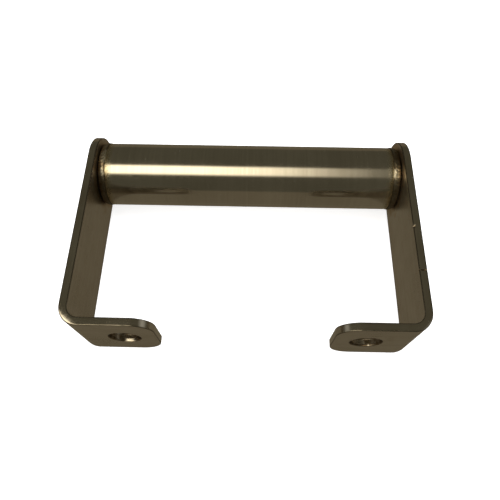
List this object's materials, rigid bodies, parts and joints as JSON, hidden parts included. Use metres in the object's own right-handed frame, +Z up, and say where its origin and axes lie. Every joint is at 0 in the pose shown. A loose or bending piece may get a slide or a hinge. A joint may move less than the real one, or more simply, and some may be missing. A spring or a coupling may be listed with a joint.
{
  "type": "bow roller",
  "caption": "Bow roller with a plain stainless tube roller turning on a clamped axle between bent flat-bar arms with inturned bolting feet.",
  "frame": {"origin": "middle of the base, at the height of the bars' lower long edges, halfway between the feet's outer faces and the tips of the arms", "axes": "+X along the roller axis, +Y from the bolting feet out to the roller, +Z up across the width of the flat bar, with the bars standing on edge"},
  "size_m": [0.182, 0.1134, 0.04],
  "materials": {
    "stainless_bar": "mill-finish stainless flat bar, lightly brushed along its length, dressed edges",
    "stainless_tube": "semi-polished stainless tube with fine lines round it",
    "turned_stainless": "turned stainless",
    "weld_bead": "rippled weld bead with brown and straw heat tint",
    "bush_plastic": "natural white acetal",
    "fastener_steel": "bright stainless fastener"
  },
  "bodies": {
    "brackets": {"left_bracket": "stainless_bar", "right_bracket": "stainless_bar", "axle_rod": "turned_stainless", "left_axle_screw": "fastener_steel", "right_axle_screw": "fastener_steel", "left_screw_washer": "fastener_steel", "right_screw_washer": "fastener_steel", "left_thrust_washer": "bush_plastic", "right_thrust_washer": "bush_plastic"},
    "roller": {"roller_tube": "stainless_tube", "left_end_plug": "turned_stainless", "right_end_plug": "turned_stainless", "left_plug_weld": "weld_bead", "right_plug_weld": "weld_bead", "left_bush": "bush_plastic", "right_bush": "bush_plastic"}
  },
  "joints": [
    {"name": "roller_spin", "type": "hinge", "parent": "brackets", "child": "roller", "pos_m": [0, 0.03675, 0.02], "axis": [1, 0, 0], "continuous": true}
  ]
}
